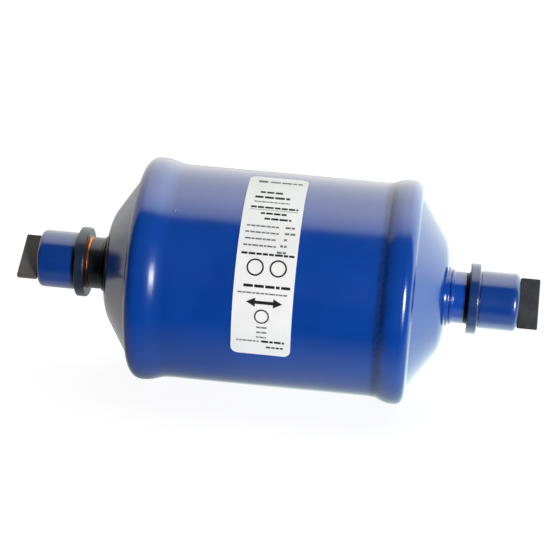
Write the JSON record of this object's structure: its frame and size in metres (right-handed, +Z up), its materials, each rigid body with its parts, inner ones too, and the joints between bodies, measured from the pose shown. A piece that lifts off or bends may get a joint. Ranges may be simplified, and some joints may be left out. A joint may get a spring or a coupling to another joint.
{
  "type": "filter drier",
  "caption": "Sealed steel two-way filter drier with domed ends, solder sockets on its axis, pull-out rubber plugs and a moulded core with check valves inside.",
  "frame": {"origin": "centre of the body, on its axis, midway between the two ends", "axes": "+X along the axis to the end on the right of the picture, +Z up, label facing -Y and upwards"},
  "size_m": [0.186, 0.0796, 0.0797],
  "materials": {
    "blue_paint": "gloss",
    "bare_copper": "heat-tinted",
    "black_rubber": "matt",
    "label_film": "satin",
    "desiccant": "porous",
    "fleece": "fibrous",
    "plain_steel": "perforated sheet",
    "fibre_gasket": "pressed fibre",
    "plated_steel": "zinc plated",
    "seal_rubber": "smooth",
    "brass": "turned",
    "spring_steel": "drawn"
  },
  "bodies": {
    "root": {"shell_tube": "blue_paint", "label": "label_film", "desiccant_core": "desiccant", "filter_sleeve": "fleece", "core_screen_tube": "plain_steel", "left_end_cap": "blue_paint", "left_neck_bush": "blue_paint", "left_socket_fitting": "blue_paint", "left_braze_ring": "bare_copper", "left_core_gasket": "fibre_gasket", "left_valve_plate": "plated_steel", "left_flapper_retainer": "plated_steel", "left_poppet_spring": "spring_steel", "left_poppet_cage": "plated_steel", "left_stack_spring": "spring_steel", "right_end_cap": "blue_paint", "right_neck_bush": "blue_paint", "right_socket_fitting": "blue_paint", "right_braze_ring": "bare_copper", "right_core_gasket": "fibre_gasket", "right_valve_plate": "plated_steel", "right_flapper_retainer": "plated_steel", "right_poppet_spring": "spring_steel", "right_poppet_cage": "plated_steel", "right_stack_spring": "spring_steel"},
    "left_plug": {"left_plug": "black_rubber"},
    "left_flapper": {"left_inlet_flapper": "seal_rubber"},
    "left_poppet": {"left_outlet_poppet": "brass"},
    "right_plug": {"right_plug": "black_rubber"},
    "right_flapper": {"right_inlet_flapper": "seal_rubber"},
    "right_poppet": {"right_outlet_poppet": "brass"}
  },
  "joints": [
    {"name": "left_plug_pull", "type": "slide", "parent": "root", "child": "left_plug", "axis": [-1, 0, 0], "range_m": [0, 0.03]},
    {"name": "left_inlet_valve_lift", "type": "slide", "parent": "root", "child": "left_flapper", "axis": [1, 0, 0], "range_m": [0, 0.0016]},
    {"name": "left_outlet_valve_lift", "type": "slide", "parent": "root", "child": "left_poppet", "axis": [-1, 0, 0], "range_m": [0, 0.0025], "stiffness_N_per_m": 300, "springref_m": -0.001, "deforming": ["left_poppet_spring"]},
    {"name": "right_plug_pull", "type": "slide", "parent": "root", "child": "right_plug", "axis": [1, 0, 0], "range_m": [0, 0.03]},
    {"name": "right_inlet_valve_lift", "type": "slide", "parent": "root", "child": "right_flapper", "axis": [-1, 0, 0], "range_m": [0, 0.0016]},
    {"name": "right_outlet_valve_lift", "type": "slide", "parent": "root", "child": "right_poppet", "axis": [1, 0, 0], "range_m": [0, 0.0025], "stiffness_N_per_m": 300, "springref_m": -0.001, "deforming": ["right_poppet_spring"]}
  ]
}
